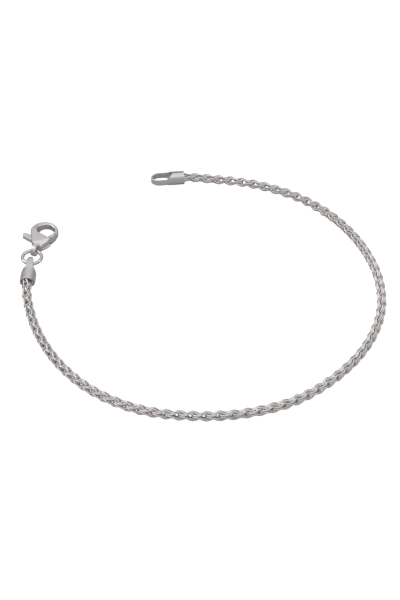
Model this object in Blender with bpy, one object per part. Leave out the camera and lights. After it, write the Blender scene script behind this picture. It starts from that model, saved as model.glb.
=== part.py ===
"""Silver wheat chain bracelet, lying open on a flat surface, +Z up, in metres.

The near end of the chain carries a folded cap, a jump ring and a lobster clasp.
The far end carries the same cap with nothing in its loop: the clasp hooks there.
The links are too many for this model, so a tube of the chain's full thickness stands for them.
"""

import math

import bmesh
import bpy
import numpy as np
from mathutils import Matrix, Vector

MM = 0.001

# Chain: its thickness and the route of its centre line over the surface
CHAIN_DIAMETER = 1.86 * MM
CHAIN_POINT_SPACING = 2.0 * CHAIN_DIAMETER
CHAIN_BEVEL_STEPS = 2
CURVE_SAMPLES = 24
CHAIN_RISE = 7.0 * MM
CHAIN_ROUTE = [
    (-34.9 * MM, -0.3 * MM),
    (-32.3 * MM, -9.7 * MM),
    (-27.5 * MM, -18.6 * MM),
    (-20.6 * MM, -25.9 * MM),
    (-11.7 * MM, -30.7 * MM),
    (-1.8 * MM, -32.4 * MM),
    (8.3 * MM, -31.8 * MM),
    (17.9 * MM, -28.6 * MM),
    (25.9 * MM, -22.6 * MM),
    (32.2 * MM, -14.7 * MM),
    (36.0 * MM, -5.3 * MM),
    (36.5 * MM, 4.7 * MM),
    (34.0 * MM, 14.5 * MM),
    (29.0 * MM, 23.3 * MM),
    (21.8 * MM, 30.3 * MM),
    (12.8 * MM, 34.8 * MM),
    (3.0 * MM, 36.8 * MM),
]

# End caps: a strip folded into a loop, its two ends pressed into half shells over the chain
CAP_LENGTH = 7.2 * MM
CAP_STRIP = 0.3 * MM
CAP_BARREL_WIDTH = 3.2 * MM
CAP_BARREL_DEPTH = 2.7 * MM
CAP_LOOP_WIDTH = 1.45 * MM
CAP_LOOP_DEPTH = 2.84 * MM
CAP_LOOP_NOSE = 1.9 * MM
CAP_SHELL_END = 1.7 * MM
CAP_SHOULDER_END = 4.1 * MM
CAP_SEAM_ANGLE = math.radians(84)
CAP_FLAT_ANGLE = math.radians(2)
CAP_STRIP_STEPS = 6
CAP_LENGTH_STEPS = 9
CAP_TURN_STEPS = 10
CAP_CHAIN_DEPTH = 2.9 * MM
NEAR_CAP_MOUTH = (-35.15 * MM, 3.7 * MM)
NEAR_CAP_HEADING = math.radians(87)
FAR_CAP_MOUTH = (-3.5 * MM, 36.8 * MM)
FAR_CAP_HEADING = math.radians(187)
FAR_CAP_ROLL = math.radians(90)

# Jump ring: flat, through the near cap's loop and the clasp's eye
RING_WIRE = 0.75 * MM
RING_OUTER = 4.7 * MM
RING_SIDES = 28
RING_WIRE_SIDES = 10
RING_PAST_CAP = 0.55 * MM

# Lobster clasp, in its own frame: origin in the eye's hole, +Y to the hook's top, middle plane at z = 0
CLASP_HEIGHT = 2.5 * MM
CLASP_LEAN = math.radians(-18)
EYE_OUTER = 2.5 * MM
EYE_HOLE = 1.7 * MM
EYE_THICKNESS = 1.1 * MM
EYE_SIDES = 20
EYE_PAST_RING = 0.22 * MM
EYE_ROUND_RING = math.radians(80)
NECK_WIDTH = 1.3 * MM
NECK_HEIGHT = 1.7 * MM
CHEEK_START = 0.95 * MM
CHEEK_EDGE = 0.28 * MM
EDGE_PROFILE = 0.6
# Half width of the pear-shaped cheeks as a share of the hook's radius, and height as a share of the way
# from the neck to the hook's centre
CHEEK_LEFT = [(0.28, 0.0), (0.48, 0.19), (0.64, 0.38), (0.79, 0.57), (0.90, 0.74)]
CHEEK_RIGHT = [(0.78, 0.545), (0.74, 0.46), (0.64, 0.32), (0.48, 0.17), (0.28, 0.0)]
CHEEK_ROOT_ANGLES = (math.radians(188), math.radians(226))
HOOK_CENTRE = 5.6 * MM
HOOK_OUTER = 5.8 * MM
HOOK_ROOT_WIDTH = 1.45 * MM
HOOK_TIP_WIDTH = 0.9 * MM
HOOK_HEIGHT = 1.6 * MM
HOOK_ROOT_ANGLE = math.radians(205)
HOOK_STEPS = 22
HOOK_WIDTH_TAPER = 0.7
HOOK_HEIGHT_TAPER = 0.45
SECTION_CORNER = 0.3

# Lever: a web in the clasp's slot, with the gate on one side and the thumb tab on the other
PIVOT_X = 0.3 * MM
PIVOT_Y = 2.6 * MM
PIN_DIAMETER = 0.7 * MM
PIN_HOLE_DEPTH = 0.4 * MM
BAR_SIDES = 16
HUB_DIAMETER = 1.8 * MM
WEB_THICKNESS = 1.0 * MM
GATE_WIDTH = 0.85 * MM
GATE_HEIGHT = 1.5 * MM
GATE_REACH = 3.5 * MM
GATE_ARC_STEP = math.radians(5)
GATE_PAST_SEAM = math.radians(18)
GATE_ARC = (math.radians(-20), math.radians(80))
TAB_REACH = 4.5 * MM
TAB_WIDTH = 1.0 * MM
TAB_HEADING = math.radians(167)
TAB_ROUND_SIDES = 8
LEVER_OPEN = math.radians(22)
SLOT_SIDE = (math.radians(-40), math.radians(80))
SLOT_FOOT = math.radians(300)
HUB_ARC = (math.radians(237), math.radians(345))
HUB_TOP = math.radians(70)
FIT_GAP = 0.1 * MM

# Surfaces
SILVER = (0.78, 0.78, 0.78, 1.0)
CHAIN_SILVER = (0.55, 0.55, 0.55, 1.0)
POLISHED = 0.22
WORN = 0.35


def clear_scene():
    """Remove whatever the scene holds."""
    for item in list(bpy.data.objects):
        bpy.data.objects.remove(item)


def metal(name, colour, roughness):
    """A plain metal surface."""
    material = bpy.data.materials.new(name)
    material.use_nodes = True
    shader = material.node_tree.nodes["Principled BSDF"]
    shader.inputs["Base Color"].default_value = colour
    shader.inputs["Metallic"].default_value = 1.0
    shader.inputs["Roughness"].default_value = roughness
    return material


def add_object(name, mesh, parent, material=None):
    """Link a mesh to the scene as a child of parent."""
    item = bpy.data.objects.new(name, mesh)
    bpy.context.collection.objects.link(item)
    item.parent = parent
    if material:
        mesh.materials.append(material)
    return item


def add_empty(name, parent, matrix):
    """An empty that carries a group of pieces."""
    item = bpy.data.objects.new(name, None)
    bpy.context.collection.objects.link(item)
    item.parent = parent
    item.matrix_local = matrix
    return item


def loft(name, rings, closed=False):
    """A solid through rings of points, capped at both ends unless it closes on itself."""
    body = bmesh.new()
    loops = [[body.verts.new(point) for point in ring] for ring in rings]
    count = len(loops[0])
    spans = len(loops) if closed else len(loops) - 1
    for i in range(spans):
        here = loops[i]
        there = loops[(i + 1) % len(loops)]
        for k in range(count):
            after = (k + 1) % count
            body.faces.new((here[k], here[after], there[after], there[k]))
    if not closed:
        body.faces.new(loops[0])
        body.faces.new(loops[-1])
    return finish_mesh(name, body)


def prism(name, outline, bottom, top, edge=0.0):
    """A plate with the given outline, its rims bevelled by edge."""
    body = bmesh.new()
    face = body.faces.new([body.verts.new((x, y, bottom)) for x, y in outline])
    grown = bmesh.ops.extrude_face_region(body, geom=[face])
    raised = [part for part in grown["geom"] if isinstance(part, bmesh.types.BMVert)]
    bmesh.ops.translate(body, verts=raised, vec=(0, 0, top - bottom))
    bmesh.ops.recalc_face_normals(body, faces=body.faces)
    if edge:
        rims = [e for e in body.edges if abs(e.verts[0].co.z - e.verts[1].co.z) < edge / 100]
        bmesh.ops.bevel(body, geom=rims, offset=edge, segments=2, profile=EDGE_PROFILE, affect="EDGES")
    return finish_mesh(name, body)


def finish_mesh(name, body):
    """Turn a bmesh into a mesh with its faces pointing out, round parts shaded smooth."""
    bmesh.ops.recalc_face_normals(body, faces=body.faces)
    mesh = bpy.data.meshes.new(name)
    body.to_mesh(mesh)
    body.free()
    mesh.shade_smooth()
    mesh.set_sharp_from_angle(angle=math.radians(40))
    return mesh


def join_solid(target, other):
    """Union another object into target and hide it as a guide."""
    combine(target, other, "UNION")


def cut_solid(target, cutter):
    """Cut another object out of target and hide it as a guide."""
    combine(target, cutter, "DIFFERENCE")


def combine(target, other, operation):
    """Add a Boolean modifier and mark the other object as a guide."""
    step = target.modifiers.new(other.name, "BOOLEAN")
    step.operation = operation
    step.object = other
    step.solver = "EXACT"
    other.hide_render = True
    other.display_type = "WIRE"


def smoothstep(value, low, high):
    """0 below low, 1 above high, an even curve between."""
    share = min(max((value - low) / (high - low), 0.0), 1.0)
    return share * share * (3 - 2 * share)


def smooth_curve(points, spacing):
    """Points at an even spacing on a centripetal Catmull-Rom curve through the given points."""
    places = [Vector(point) for point in points]
    places = [2 * places[0] - places[1]] + places + [2 * places[-1] - places[-2]]
    fine = []
    for i in range(1, len(places) - 2):
        before, start, end, after = places[i - 1:i + 3]
        knots = [0.0]
        for a, b in ((before, start), (start, end), (end, after)):
            knots.append(knots[-1] + (b - a).length ** 0.5)
        for t in np.linspace(knots[1], knots[2], CURVE_SAMPLES, endpoint=False):
            first = [blend(before, start, knots[0], knots[1], t),
                     blend(start, end, knots[1], knots[2], t),
                     blend(end, after, knots[2], knots[3], t)]
            second = [blend(first[0], first[1], knots[0], knots[2], t),
                      blend(first[1], first[2], knots[1], knots[3], t)]
            fine.append(blend(second[0], second[1], knots[1], knots[2], t))
    fine.append(places[-2])
    gaps = [(b - a).length for a, b in zip(fine, fine[1:])]
    along = np.concatenate([[0.0], np.cumsum(gaps)])
    count = round(along[-1] / spacing) + 1
    wanted = np.linspace(0.0, along[-1], count)
    table = np.array(fine)
    return [Vector([np.interp(w, along, table[:, axis]) for axis in range(3)]) for w in wanted]


def blend(start, end, low, high, t):
    """The point between start and end that belongs to t between low and high."""
    return start * ((high - t) / (high - low)) + end * ((t - low) / (high - low))


def cap_matrix(mouth, heading, roll, height):
    """Place of a cap: +X from its mouth to its loop, +Z through the fold's two layers."""
    place = Matrix.Translation((mouth[0], mouth[1], height))
    return place @ Matrix.Rotation(heading, 4, "Z") @ Matrix.Rotation(roll, 4, "X")


def near_cap_matrix():
    """Place of the near cap, which lies on its fold."""
    return cap_matrix(NEAR_CAP_MOUTH, NEAR_CAP_HEADING, 0.0, max(CAP_LOOP_DEPTH, CAP_BARREL_DEPTH) / 2)


def far_cap_matrix():
    """Place of the far cap, which lies on its side."""
    return cap_matrix(FAR_CAP_MOUTH, FAR_CAP_HEADING, FAR_CAP_ROLL, CAP_BARREL_WIDTH / 2)


def chain_points():
    """Centre line of the chain, from inside the near cap to inside the far cap, rising to both caps."""
    near = near_cap_matrix()
    far = far_cap_matrix()
    near_end = [near @ Vector((CAP_CHAIN_DEPTH, 0, 0)), near.translation]
    far_end = [far.translation, far @ Vector((CAP_CHAIN_DEPTH, 0, 0))]
    places = [(x, y) for x, y, _ in near_end] + CHAIN_ROUTE + [(x, y) for x, y, _ in far_end]
    points = smooth_curve([(x, y, 0.0) for x, y in places], CHAIN_POINT_SPACING)
    step = (points[1] - points[0]).length
    for i, point in enumerate(points):
        point.z = CHAIN_DIAMETER / 2
        for count, cap in ((i, near), (len(points) - 1 - i, far)):
            outside = count * step - CAP_CHAIN_DEPTH
            lift = cap.translation.z - CHAIN_DIAMETER / 2
            point.z += lift * (1 - smoothstep(outside, 0.0, CHAIN_RISE))
    return points


def build_chain(parent):
    """The chain's full thickness as one tube."""
    points = chain_points()
    path = bpy.data.curves.new("chain", "CURVE")
    path.dimensions = "3D"
    path.bevel_depth = CHAIN_DIAMETER / 2
    path.bevel_resolution = CHAIN_BEVEL_STEPS
    path.use_fill_caps = True
    spline = path.splines.new("POLY")
    spline.points.add(len(points) - 1)
    for spot, point in zip(spline.points, points):
        spot.co = (*point, 1.0)
    path.materials.append(metal("chain", CHAIN_SILVER, WORN))
    chain = bpy.data.objects.new("chain", path)
    bpy.context.collection.objects.link(chain)
    chain.parent = parent


def cap_fold():
    """The folded strip's middle line from mouth to mouth: places along and across, and its turn."""
    half_barrel = CAP_BARREL_DEPTH / 2
    half_loop = CAP_LOOP_DEPTH / 2
    nose = CAP_LENGTH - CAP_LOOP_NOSE
    upper = []
    for along in np.linspace(0.0, nose, CAP_LENGTH_STEPS, endpoint=False):
        share = smoothstep(along, CAP_SHELL_END, nose)
        upper.append((along, half_barrel + (half_loop - half_barrel) * share))
    turn = [(nose + CAP_LOOP_NOSE * math.cos(a), half_loop * math.sin(a))
            for a in np.linspace(math.pi / 2, -math.pi / 2, CAP_TURN_STEPS + 1)]
    lower = [(along, -across) for along, across in reversed(upper)]
    return upper + turn + lower


def cap_section(along):
    """Half width and arc angle of the strip at a distance from the mouth."""
    share = 1.0 - smoothstep(along, CAP_SHELL_END, CAP_SHOULDER_END)
    half = (CAP_LOOP_WIDTH + (CAP_BARREL_WIDTH - CAP_LOOP_WIDTH) * share) / 2
    return half, max(CAP_SEAM_ANGLE * share, CAP_FLAT_ANGLE)


def cap_ring(along, across, normal):
    """One closed section of the strip, its outer side and then its inner side."""
    half, angle = cap_section(along)
    depth_share = CAP_BARREL_DEPTH / CAP_BARREL_WIDTH
    bends = [angle * (2 * k / CAP_STRIP_STEPS - 1) for k in range(CAP_STRIP_STEPS + 1)]
    ring = []
    for inset, order in ((0.0, bends), (CAP_STRIP, bends[::-1])):
        for bend in order:
            width = (half - inset * abs(math.sin(bend))) * math.sin(bend) / math.sin(angle)
            drop = half * depth_share * (1 - math.cos(bend)) / math.sin(angle)
            sink = drop + inset * math.cos(bend)
            ring.append((along - normal[0] * sink, width, across - normal[1] * sink))
    return ring


def build_cap(name, parent, place):
    """A folded end cap."""
    fold = cap_fold()
    rings = []
    for i, (along, across) in enumerate(fold):
        before = fold[max(i - 1, 0)]
        after = fold[min(i + 1, len(fold) - 1)]
        run = Vector((after[0] - before[0], after[1] - before[1])).normalized()
        rings.append(cap_ring(along, across, (-run.y, run.x)))
    cap = add_object(name, loft(name, rings), parent, metal(name, SILVER, POLISHED))
    cap.matrix_local = place


def ring_radius():
    """Radius of the jump ring's wire centre."""
    return (RING_OUTER - RING_WIRE) / 2


def ring_centre():
    """Centre of the jump ring, which passes through the near cap's loop and the clasp's eye."""
    centre = near_cap_matrix() @ Vector((CAP_LENGTH + RING_PAST_CAP, 0, 0))
    return Vector((centre.x, centre.y, CLASP_HEIGHT / 2))


def build_ring(parent):
    """The soldered jump ring, lying flat."""
    rings = []
    for i in range(RING_SIDES):
        turn = Matrix.Rotation(2 * math.pi * i / RING_SIDES, 4, "Z")
        ring = []
        for k in range(RING_WIRE_SIDES):
            angle = 2 * math.pi * k / RING_WIRE_SIDES
            across = ring_radius() + RING_WIRE / 2 * math.cos(angle)
            ring.append(turn @ Vector((across, 0, RING_WIRE / 2 * math.sin(angle))))
        rings.append(ring)
    mesh = loft("jump_ring", rings, closed=True)
    ring = add_object("jump_ring", mesh, parent, metal("jump_ring", SILVER, POLISHED))
    ring.location = ring_centre()


def clasp_matrix():
    """Place of the clasp: its eye is round the jump ring's far side, its middle plane level with the ring."""
    out = ring_radius() + EYE_PAST_RING
    eye = ring_centre() + Vector((out * math.cos(EYE_ROUND_RING), out * math.sin(EYE_ROUND_RING), 0))
    return Matrix.Translation(eye) @ Matrix.Rotation(CLASP_LEAN, 4, "Z")


def hook_circle(angle, radius):
    """A point on a circle round the hook's centre."""
    return (radius * math.cos(angle), HOOK_CENTRE + radius * math.sin(angle))


def rounded_section(centre, outward, width, height):
    """An eight-cornered rounded section round a centre, width across and height up."""
    flat = 0.5 - SECTION_CORNER
    spots = ((0.5, -flat), (0.5, flat), (flat, 0.5), (-flat, 0.5),
             (-0.5, flat), (-0.5, -flat), (-flat, -0.5), (flat, -0.5))
    return [(centre[0] + outward[0] * a * width, centre[1] + outward[1] * a * width, b * height)
            for a, b in spots]


def seam_angle(width):
    """Angle round the hook's centre at which a band of this width, flush outside, meets the gate's arc."""
    angle = 0.0
    while True:
        x, y = hook_circle(angle, (HOOK_OUTER - width) / 2)
        if math.hypot(x - PIVOT_X, y - PIVOT_Y) <= GATE_REACH:
            return angle
        angle -= GATE_ARC_STEP / 20


def gate_sector(radius):
    """A wedge round the pivot that covers the gate's arc, in the pivot's own frame."""
    low, high = GATE_ARC
    count = round((high - low) / GATE_ARC_STEP)
    angles = [low + (high - low) * k / count for k in range(count + 1)]
    return [(0.0, 0.0)] + [(radius * math.cos(a), radius * math.sin(a)) for a in angles]


def build_hook(parent):
    """The hook, tapering from the cheeks on the left over the top to its tip, cut to the gate's arc."""
    tip = seam_angle(HOOK_TIP_WIDTH) - GATE_PAST_SEAM
    rings = []
    for i in range(HOOK_STEPS + 1):
        share = i / HOOK_STEPS
        angle = HOOK_ROOT_ANGLE + (tip - HOOK_ROOT_ANGLE) * share
        width = HOOK_ROOT_WIDTH + (HOOK_TIP_WIDTH - HOOK_ROOT_WIDTH) * smoothstep(share, 0.0, HOOK_WIDTH_TAPER)
        height = CLASP_HEIGHT + (HOOK_HEIGHT - CLASP_HEIGHT) * smoothstep(share, 0.0, HOOK_HEIGHT_TAPER)
        centre = hook_circle(angle, (HOOK_OUTER - width) / 2)
        rings.append(rounded_section(centre, (math.cos(angle), math.sin(angle)), width, height))
    hook = add_object("hook_guide", loft("hook_guide", rings), parent)
    wedge = gate_sector(GATE_REACH + FIT_GAP)
    seam = add_object("seam_guide", prism("seam_guide", wedge, -CLASP_HEIGHT, CLASP_HEIGHT), parent)
    seam.location = (PIVOT_X, PIVOT_Y, 0)
    cut_solid(hook, seam)
    return hook


def cheek_outline():
    """The pear-shaped cheeks: up the left side, across under the hook's opening, down the right side."""
    radius = HOOK_OUTER / 2
    reach = HOOK_CENTRE - CHEEK_START
    left = [(-radius * out, CHEEK_START + reach * up) for out, up in CHEEK_LEFT]
    right = [(radius * out, CHEEK_START + reach * up) for out, up in CHEEK_RIGHT]
    high, low = CHEEK_ROOT_ANGLES
    root = [hook_circle(high, radius),
            hook_circle(high, radius - HOOK_ROOT_WIDTH),
            hook_circle(low, radius - HOOK_ROOT_WIDTH)]
    return left + root + right


def slot_outline():
    """The slot in the clasp, round the pivot, wide enough for the lever from shut to open."""
    hub = HUB_DIAMETER / 2 + FIT_GAP
    half = TAB_WIDTH / 2 + FIT_GAP
    shut = Vector((math.cos(TAB_HEADING), math.sin(TAB_HEADING)))
    upper = Vector((shut.y, -shut.x))
    opened = TAB_HEADING + LEVER_OPEN
    wide = Vector((math.cos(opened), math.sin(opened)))
    lower = Vector((-wide.y, wide.x))
    tab_side = [shut * HOOK_OUTER + upper * half, wide * HOOK_OUTER + lower * half]
    hub_side = [Vector((math.cos(a), math.sin(a))) * hub
                for a in np.linspace(opened + math.pi / 2, SLOT_FOOT, 4)]
    gate_side = [Vector((math.cos(a), math.sin(a))) * (GATE_REACH - FIT_GAP)
                 for a in np.linspace(*SLOT_SIDE, 9)]
    top = HUB_TOP + LEVER_OPEN
    hub_top = [Vector((math.cos(top), math.sin(top))) * hub]
    return [(point.x, point.y) for point in tab_side + hub_side + gate_side + hub_top]


def build_clasp_body(parent):
    """Cheeks, hook, neck and eye in one casting, with a slot for the lever and a blind bore for its pin."""
    half = CLASP_HEIGHT / 2
    cheeks = prism("clasp_body", cheek_outline(), -half, half, CHEEK_EDGE)
    body = add_object("clasp_body", cheeks, parent, metal("clasp_body", SILVER, POLISHED))
    join_solid(body, build_hook(parent))
    side = NECK_WIDTH / 2
    low = EYE_HOLE / 2 + FIT_GAP
    high = CHEEK_START + NECK_WIDTH / 2
    neck_outline = [(-side, low), (side, low), (side, high), (-side, high)]
    neck = prism("neck_guide", neck_outline, -NECK_HEIGHT / 2, NECK_HEIGHT / 2)
    join_solid(body, add_object("neck_guide", neck, parent))
    join_solid(body, build_eye(parent))
    slot_height = WEB_THICKNESS / 2 + FIT_GAP
    slot = add_object("slot_guide", prism("slot_guide", slot_outline(), -slot_height, slot_height), parent)
    slot.location = (PIVOT_X, PIVOT_Y, 0)
    cut_solid(body, slot)
    bore = round_bar("pin_bore_guide", parent, PIN_DIAMETER + 2 * FIT_GAP, pin_length() + 2 * FIT_GAP)
    bore.location = (PIVOT_X, PIVOT_Y, 0)
    cut_solid(body, bore)


def build_eye(parent):
    """The eye: a thick upright ring across the clasp."""
    corners = ((-1, EYE_HOLE / 2), (1, EYE_HOLE / 2), (1, EYE_OUTER / 2), (-1, EYE_OUTER / 2))
    rings = []
    for i in range(EYE_SIDES):
        angle = 2 * math.pi * i / EYE_SIDES
        rings.append([(side * EYE_THICKNESS / 2, radius * math.cos(angle), radius * math.sin(angle))
                      for side, radius in corners])
    return add_object("eye_guide", loft("eye_guide", rings, closed=True), parent)


def pin_length():
    """The pin crosses the web and reaches into both cheeks."""
    return WEB_THICKNESS + 2 * PIN_HOLE_DEPTH


def round_bar(name, parent, diameter, length, material=None):
    """An upright round bar."""
    body = bmesh.new()
    bmesh.ops.create_cone(body, cap_ends=True, segments=BAR_SIDES, radius1=diameter / 2, radius2=diameter / 2,
                          depth=length)
    return add_object(name, finish_mesh(name, body), parent, material)


def gate_line():
    """The gate's middle line round the pivot, from its foot above the cheeks to past the seam."""
    seam = seam_angle(GATE_WIDTH)
    middle_radius = (HOOK_OUTER - GATE_WIDTH) / 2
    past = hook_circle(seam + GATE_PAST_SEAM, middle_radius)
    tip = hook_circle(seam - GATE_PAST_SEAM / 2, middle_radius)
    out, up = CHEEK_RIGHT[0]
    foot = (HOOK_OUTER / 2 * out - GATE_WIDTH / 2, CHEEK_START + (HOOK_CENTRE - CHEEK_START) * up)
    foot = (foot[0], foot[1] + GATE_WIDTH / 4 + FIT_GAP)
    return [(x - PIVOT_X, y - PIVOT_Y) for x, y in (foot, tip, past)]


def web_outline():
    """The lever's flat web round the pivot: tab, hub and the arm that carries the gate."""
    hub = HUB_DIAMETER / 2
    half = TAB_WIDTH / 2
    away = Vector((math.cos(TAB_HEADING), math.sin(TAB_HEADING)))
    aside = Vector((-away.y, away.x))
    points = []
    for k in range(TAB_ROUND_SIDES + 1):
        turn = math.pi * k / TAB_ROUND_SIDES
        place = away * (TAB_REACH - half + half * math.sin(turn)) - aside * (half * math.cos(turn))
        points.append((place.x, place.y))
    for a in np.linspace(*HUB_ARC, 7):
        points.append((hub * math.cos(a), hub * math.sin(a)))
    foot_x, foot_y = gate_line()[0]
    side = GATE_WIDTH / 2 - FIT_GAP
    points.append((foot_x + side, foot_y - GATE_WIDTH / 2))
    points.append((foot_x + side, foot_y + side))
    points.append((foot_x - side, foot_y + side))
    points.append((hub * math.cos(HUB_TOP), hub * math.sin(HUB_TOP)))
    return points


def build_gate(parent):
    """The gate, as thick as the hook's tip, trimmed to an arc round the pivot."""
    line = smooth_curve([(x, y, 0.0) for x, y in gate_line()], GATE_WIDTH / 2)
    rings = []
    for i, place in enumerate(line):
        run = (line[min(i + 1, len(line) - 1)] - line[max(i - 1, 0)]).normalized()
        rings.append(rounded_section(place, (run.y, -run.x), GATE_WIDTH, GATE_HEIGHT))
    gate = add_object("gate_guide", loft("gate_guide", rings), parent)
    wedge = gate_sector(GATE_REACH)
    trim = prism("trim_guide", wedge, -CLASP_HEIGHT, CLASP_HEIGHT)
    combine(gate, add_object("trim_guide", trim, parent), "INTERSECT")
    return gate


def build_lever(parent):
    """The lever, shut: hub and web in the slot, gate up the right side, thumb tab out to the left."""
    pivot = add_empty("lever_pivot", parent, Matrix.Translation((PIVOT_X, PIVOT_Y, 0)))
    web = prism("clasp_lever", web_outline(), -WEB_THICKNESS / 2, WEB_THICKNESS / 2)
    lever = add_object("clasp_lever", web, pivot, metal("clasp_lever", SILVER, POLISHED))
    join_solid(lever, build_gate(pivot))
    cut_solid(lever, round_bar("lever_bore_guide", pivot, PIN_DIAMETER + 2 * FIT_GAP, CLASP_HEIGHT))
    round_bar("clasp_pin", pivot, PIN_DIAMETER, pin_length(), metal("clasp_pin", SILVER, WORN))


def stand_on_origin(root):
    """Move the whole bracelet so that the middle of its box's underside is the origin."""
    bpy.context.view_layer.update()
    graph = bpy.context.evaluated_depsgraph_get()
    places = []
    for item in bpy.context.scene.objects:
        if item.type in {"MESH", "CURVE"} and not item.hide_render:
            shape = item.evaluated_get(graph).to_mesh()
            places += [item.matrix_world @ spot.co for spot in shape.vertices]
    low = [min(place[axis] for place in places) for axis in range(3)]
    high = [max(place[axis] for place in places) for axis in range(3)]
    root.location = (-(low[0] + high[0]) / 2, -(low[1] + high[1]) / 2, -low[2])


def main():
    """Build the bracelet."""
    clear_scene()
    root = add_empty("bracelet", None, Matrix.Identity(4))
    build_chain(root)
    build_cap("end_cap_near", root, near_cap_matrix())
    build_cap("end_cap_far", root, far_cap_matrix())
    build_ring(root)
    clasp = add_empty("clasp", root, clasp_matrix())
    build_clasp_body(clasp)
    build_lever(clasp)
    stand_on_origin(root)


main()
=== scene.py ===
"""Looks of a wheat chain bracelet: wire links, two folded end caps, a jump ring and a hook clasp."""

import math

import bmesh
import bpy
import numpy as np
from mathutils import Matrix, Vector


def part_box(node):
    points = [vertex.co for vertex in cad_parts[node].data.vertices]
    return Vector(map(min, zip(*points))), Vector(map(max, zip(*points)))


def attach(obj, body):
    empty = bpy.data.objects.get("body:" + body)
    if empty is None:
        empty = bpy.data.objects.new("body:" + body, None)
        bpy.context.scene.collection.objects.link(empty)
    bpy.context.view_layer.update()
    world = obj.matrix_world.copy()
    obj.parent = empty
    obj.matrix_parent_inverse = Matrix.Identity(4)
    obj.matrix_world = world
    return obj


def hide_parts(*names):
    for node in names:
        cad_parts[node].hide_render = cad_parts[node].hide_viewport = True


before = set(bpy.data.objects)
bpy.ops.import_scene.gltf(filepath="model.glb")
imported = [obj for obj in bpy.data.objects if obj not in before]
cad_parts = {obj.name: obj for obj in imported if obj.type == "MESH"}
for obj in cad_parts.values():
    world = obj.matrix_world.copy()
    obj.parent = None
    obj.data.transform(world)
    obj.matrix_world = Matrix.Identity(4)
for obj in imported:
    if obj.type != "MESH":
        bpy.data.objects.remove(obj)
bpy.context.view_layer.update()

# Lengths are in metres
MM = 0.001
TINY = 1e-9

# View of the photograph
VIEW_ELEVATION = math.radians(44)
VIEW_DISTANCE = 334.8 * MM
VIEW_LENS = 99.24
VIEW_NEAR = 10 * MM

# Route of the chain on the table, as in the CAD model
CHAIN_RISE = 7.0 * MM
CHAIN_ROUTE = [
    (-34.9, -0.3), (-32.3, -9.7), (-27.5, -18.6), (-20.6, -25.9), (-11.7, -30.7), (-1.8, -32.4),
    (8.3, -31.8), (17.9, -28.6), (25.9, -22.6), (32.2, -14.7), (36.0, -5.3), (36.5, 4.7),
    (34.0, 14.5), (29.0, 23.3), (21.8, 30.3), (12.8, 34.8), (3.0, 36.8),
]
ROUTE_SAMPLES = 16

# End caps, as in the CAD model
CAP_LENGTH = 7.2 * MM
CAP_STRIP = 0.3 * MM
CAP_BARREL_WIDTH = 3.2 * MM
CAP_BARREL_DEPTH = 2.7 * MM
CAP_LOOP_WIDTH = 1.45 * MM
CAP_LOOP_DEPTH = 2.84 * MM
CAP_LOOP_NOSE = 1.9 * MM
CAP_SHELL_END = 2.3 * MM
CAP_SHOULDER_END = 4.0 * MM
CAP_SEAM_ANGLE = math.radians(84)
CAP_FLAT_ANGLE = math.radians(2)
CAP_CHAIN_DEPTH = 2.9 * MM
NEAR_CAP_MOUTH = (-35.15 * MM, 3.7 * MM)
NEAR_CAP_HEADING = math.radians(87)
FAR_CAP_MOUTH = (-3.5 * MM, 36.8 * MM)
FAR_CAP_HEADING = math.radians(187)
FAR_CAP_ROLL = math.radians(90)
CAP_STRIP_STEPS = 14
CAP_LENGTH_STEPS = 26
CAP_TURN_STEPS = 30
CAP_EDGE = 0.07 * MM
CAP_EDGE_SEGMENTS = 3
CAP_EDGE_ANGLE = math.radians(40)
CAP_TIP_START = 5.2 * MM
CAP_TIP_RADIUS = 1.6 * MM
NEAR_CAP_TIP = 0.3
FAR_CAP_TIP = 0.9

# Jump ring
RING_WIRE = 0.75 * MM
RING_OUTER = 4.7 * MM
RING_PAST_CAP = 0.55 * MM
RING_SIDES = 96
RING_WIRE_SIDES = 24

# Clasp, as in the CAD model: +Y runs from its eye to the top of its hook
CLASP_HEIGHT = 2.5 * MM
CLASP_LEAN = math.radians(-18)
EYE_OUTER = 2.5 * MM
EYE_HOLE = 1.7 * MM
EYE_THICKNESS = 1.1 * MM
EYE_PAST_RING = 0.22 * MM
EYE_ROUND_RING = math.radians(80)
NECK_WIDTH = 1.65 * MM
NECK_HEIGHT = 1.7 * MM
CHEEK_START = 0.95 * MM
CHEEK_EDGE = 0.34 * MM
CHEEK_LEFT = [(0.28, 0.0), (0.48, 0.19), (0.64, 0.38), (0.79, 0.57), (0.90, 0.74)]
CHEEK_RIGHT = [(0.78, 0.545), (0.74, 0.46), (0.64, 0.32), (0.48, 0.17), (0.28, 0.0)]
CHEEK_ROOT_ANGLES = (math.radians(188), math.radians(226))
FACET_EDGE = [(-0.93 * MM, 0.91 * MM), (2.17 * MM, 3.35 * MM)]
FACET_SLOPE = math.radians(42)
HOOK_CENTRE = 5.6 * MM
HOOK_OUTER = 5.8 * MM
HOOK_ROOT_WIDTH = 1.45 * MM
HOOK_TIP_WIDTH = 0.9 * MM
HOOK_HEIGHT = 1.6 * MM
HOOK_ROOT_ANGLE = math.radians(205)
HOOK_STEPS = 60
HOOK_WIDTH_TAPER = 0.7
HOOK_HEIGHT_TAPER = 0.45
SECTION_POINTS = 28
SECTION_POWER = 3.2
PIVOT_X = 0.3 * MM
PIVOT_Y = 2.6 * MM
HUB_DIAMETER = 1.8 * MM
PIN_ROOM = 0.9 * MM
PIN_LENGTH = 1.8 * MM
PIN_SIDES = 32
WEB_THICKNESS = 1.0 * MM
GATE_WIDTH = 0.85 * MM
GATE_FOOT_HEIGHT = 2.4 * MM
GATE_TIP_HEIGHT = 1.55 * MM
GATE_REACH = 3.5 * MM
GATE_PAST_SEAM = math.radians(18)
GATE_ARC = (math.radians(-20), math.radians(80))
TAB_REACH = 4.5 * MM
TAB_WIDTH = 1.0 * MM
TAB_HEADING = math.radians(167)
LEVER_OPEN = math.radians(22)
SLOT_SIDE = (math.radians(-40), math.radians(80))
SLOT_FOOT = math.radians(300)
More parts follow.
